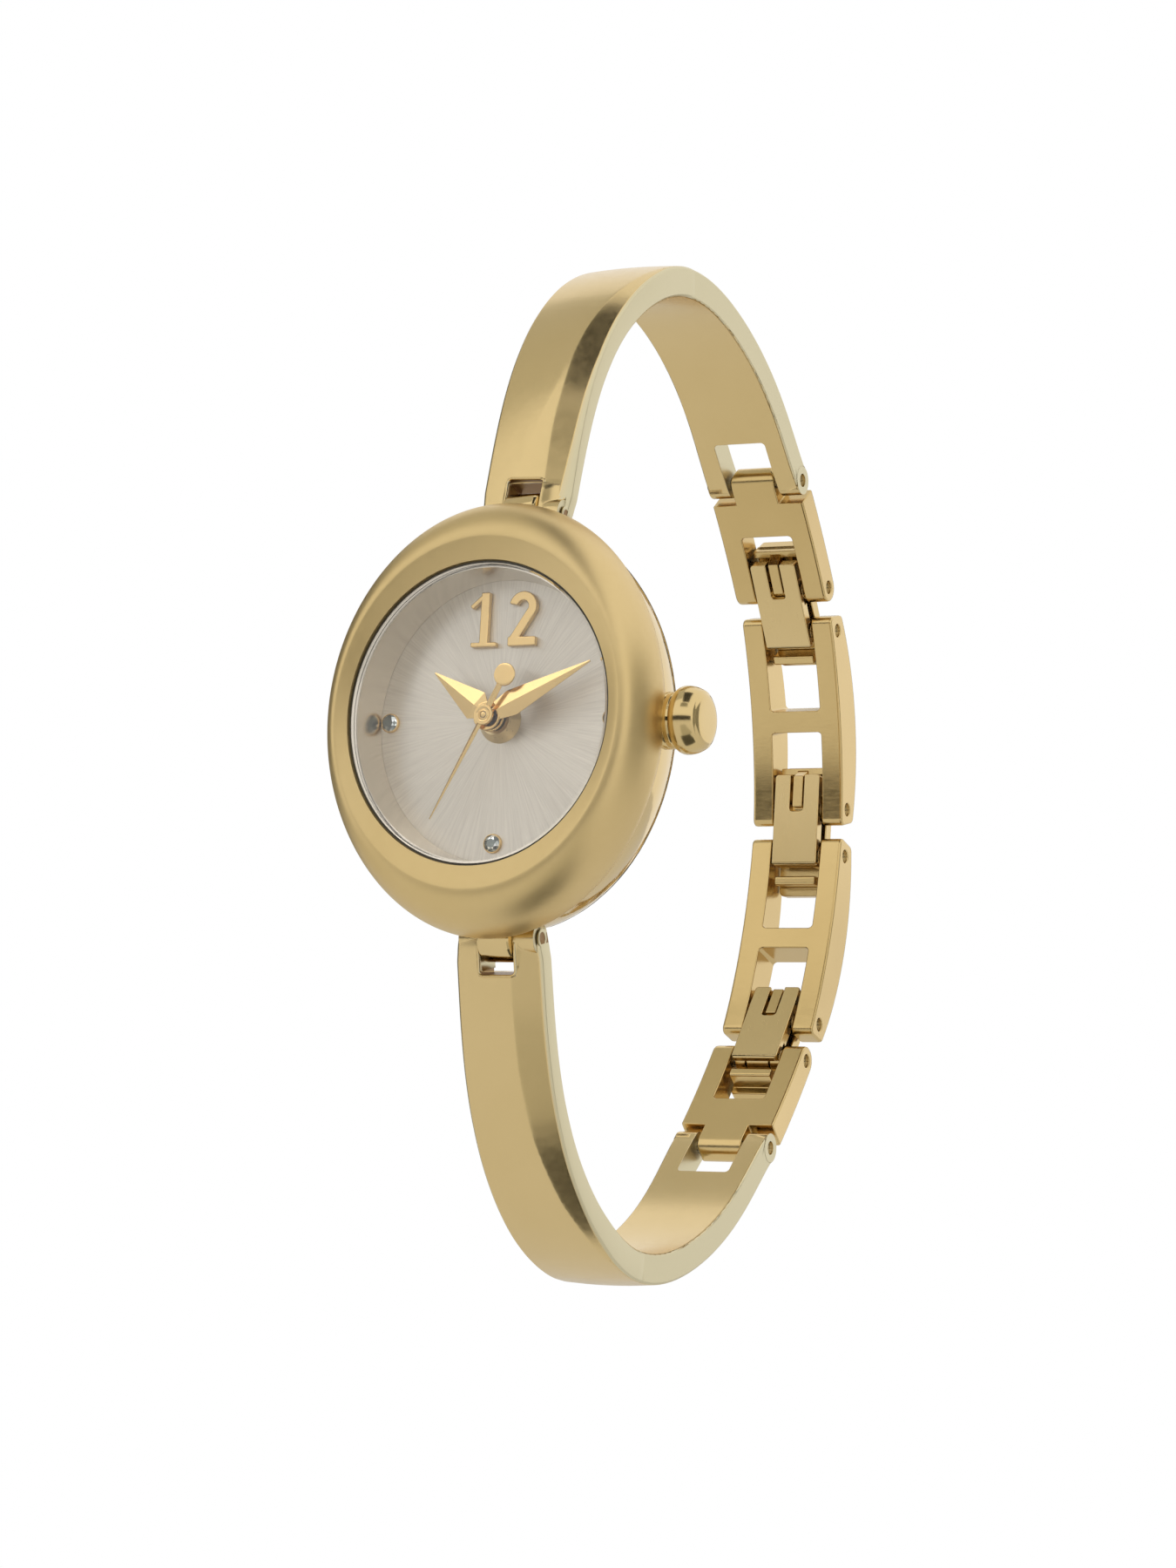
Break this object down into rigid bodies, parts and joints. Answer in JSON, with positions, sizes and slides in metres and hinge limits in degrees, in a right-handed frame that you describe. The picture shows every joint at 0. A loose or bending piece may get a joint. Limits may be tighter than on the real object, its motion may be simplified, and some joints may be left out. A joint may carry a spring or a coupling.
{
  "type": "bangle watch",
  "caption": "Slim rigid bangle watch with an oval domed bezel, hinged curved arms and a back chain of open links joined by hook-and-lever connectors.",
  "frame": {"origin": "middle of the wrist opening, half way across the bangle's width and on the height of the dial centre", "axes": "+Z towards twelve o'clock, +X towards the crown at three o'clock, -Y the way the dial looks, +Y towards the back chain"},
  "size_m": [0.0257, 0.0546, 0.07],
  "materials": {
    "polished_gold": "polished pale gold plating",
    "satin_gold": "satin brushed pale gold plating",
    "link_gold": "satin faces with bright bevels, pale gold plating",
    "bezel_gold": "fine satin with a soft sheen, pale gold plating",
    "hand_gold": "polished facets",
    "crystal_glass": "clear mineral glass, polished",
    "stone": "colourless, faceted, clear and bright",
    "dial_champagne": "sunray brushed, clear lacquer",
    "rubber_seal": "matte moulded seal",
    "movement_plastic": "moulded, matte",
    "movement_brass": "fine satin, machined",
    "steel": "fine satin steel",
    "copper_wire": "enamelled wound wire, glossy",
    "board_green": "glossy solder mask"
  },
  "bodies": {
    "case": {"bezel": "bezel_gold", "crystal": "crystal_glass", "crystal_gasket": "rubber_seal", "case_middle": "polished_gold", "case_back": "polished_gold", "case_back_gasket": "rubber_seal", "dial": "dial_champagne", "rehaut_ring": "satin_gold", "stone_settings": "hand_gold", "dial_stones": "stone", "twelve_marker": "hand_gold", "centre_bush": "movement_brass", "movement_holder": "movement_plastic", "main_plate": "movement_brass", "train_bridge": "movement_brass", "battery": "steel", "battery_clamp": "steel", "circuit_board": "board_green", "drive_coil": "copper_wire", "coil_core": "steel", "crown_tube": "steel"},
    "crown_seal": {"crown_gasket": "rubber_seal"},
    "crown_and_stem": {"crown": "polished_gold", "winding_stem": "steel"},
    "hour_works": {"hour_wheel": "movement_brass", "hour_hand": "hand_gold"},
    "minute_works": {"cannon_pinion": "steel", "minute_hand": "hand_gold"},
    "seconds_works": {"seconds_arbor": "steel", "seconds_hand": "hand_gold"},
    "upper_arm": {"upper_arm": "polished_gold", "upper_lug_pin": "steel", "upper_arm_pin": "steel"},
    "upper_t": {"upper_t_link": "link_gold", "upper_t_pin": "steel"},
    "upper_connector": {"upper_connector": "link_gold"},
    "upper_lever": {"upper_lever": "satin_gold"},
    "upper_h": {"upper_h_link": "link_gold", "upper_h_pins": "steel"},
    "middle_connector": {"middle_connector": "link_gold"},
    "middle_lever": {"middle_lever": "satin_gold"},
    "lower_h": {"lower_h_link": "link_gold", "lower_h_pin": "steel", "clasp_plugs": "steel"},
    "lower_arm": {"lower_arm": "polished_gold", "lower_lug_pin": "steel", "lower_arm_pin": "steel"},
    "lower_t": {"lower_t_link": "link_gold", "lower_t_pin": "steel"},
    "clasp_connector": {"clasp_connector": "link_gold", "clasp_pin": "steel"},
    "clasp_lever": {"clasp_lever": "satin_gold"}
  },
  "joints": [
    {"name": "crown_pull", "type": "slide", "parent": "case", "child": "crown_seal", "axis": [1, 0, 0], "range_m": [0, 0.0006]},
    {"name": "crown_turn", "type": "hinge", "parent": "crown_seal", "child": "crown_and_stem", "pos_m": [0, -0.0256, 0], "axis": [1, 0, 0], "continuous": true},
    {"name": "minute_turn", "type": "hinge", "parent": "case", "child": "minute_works", "pos_m": [0, -0.0268, 0], "axis": [0, 1, 0], "continuous": true},
    {"name": "hour_turn", "type": "hinge", "parent": "case", "child": "hour_works", "pos_m": [0, -0.0268, 0], "axis": [0, 1, 0], "continuous": true},
    {"name": "seconds_turn", "type": "hinge", "parent": "case", "child": "seconds_works", "pos_m": [0, -0.0268, 0], "axis": [0, 1, 0], "continuous": true},
    {"name": "upper_arm_swing", "type": "hinge", "parent": "case", "child": "upper_arm", "pos_m": [0, -0.02495, 0.01382], "axis": [1, 0, 0], "range_deg": [0, 22]},
    {"name": "upper_t_swing", "type": "hinge", "parent": "upper_arm", "child": "upper_t", "pos_m": [0, 0.01125, 0.02424], "axis": [1, 0, 0], "range_deg": [0, 35]},
    {"name": "upper_connector_head", "type": "hinge", "parent": "upper_t", "child": "upper_connector", "pos_m": [0, 0.01697, 0.01747], "axis": [1, 0, 0], "range_deg": [0, 30]},
    {"name": "upper_lever_lift", "type": "hinge", "parent": "upper_connector", "child": "upper_lever", "pos_m": [0, 0.019, 0.01461], "axis": [1, 0, 0], "range_deg": [0, 58]},
    {"name": "upper_connector_foot", "type": "hinge", "parent": "upper_connector", "child": "upper_h", "pos_m": [0, 0.019, 0.01461], "axis": [1, 0, 0], "range_deg": [0, 30]},
    {"name": "middle_connector_head", "type": "hinge", "parent": "upper_h", "child": "middle_connector", "pos_m": [0, 0.02237, 0.00175], "axis": [1, 0, 0], "range_deg": [0, 30]},
    {"name": "middle_lever_lift", "type": "hinge", "parent": "middle_connector", "child": "middle_lever", "pos_m": [0, 0.02237, -0.00175], "axis": [1, 0, 0], "range_deg": [0, 58]},
    {"name": "middle_connector_foot", "type": "hinge", "parent": "middle_connector", "child": "lower_h", "pos_m": [0, 0.02237, -0.00175], "axis": [1, 0, 0], "range_deg": [0, 30]},
    {"name": "lower_arm_swing", "type": "hinge", "parent": "case", "child": "lower_arm", "pos_m": [0, -0.02495, -0.01382], "axis": [-1, 0, 0], "range_deg": [0, 22]},
    {"name": "lower_t_swing", "type": "hinge", "parent": "lower_arm", "child": "lower_t", "pos_m": [0, 0.01125, -0.02424], "axis": [-1, 0, 0], "range_deg": [0, 35]},
    {"name": "clasp_connector_foot", "type": "hinge", "parent": "lower_t", "child": "clasp_connector", "pos_m": [0, 0.01697, -0.01747], "axis": [-1, 0, 0], "range_deg": [0, 30]},
    {"name": "clasp_lever_lift", "type": "hinge", "parent": "clasp_connector", "child": "clasp_lever", "pos_m": [0, 0.01697, -0.01747], "axis": [1, 0, 0], "range_deg": [0, 58]}
  ],
  "couplings": [
    {"joint": "hour_turn", "follows": "minute_turn", "ratio": 0.083333}
  ]
}
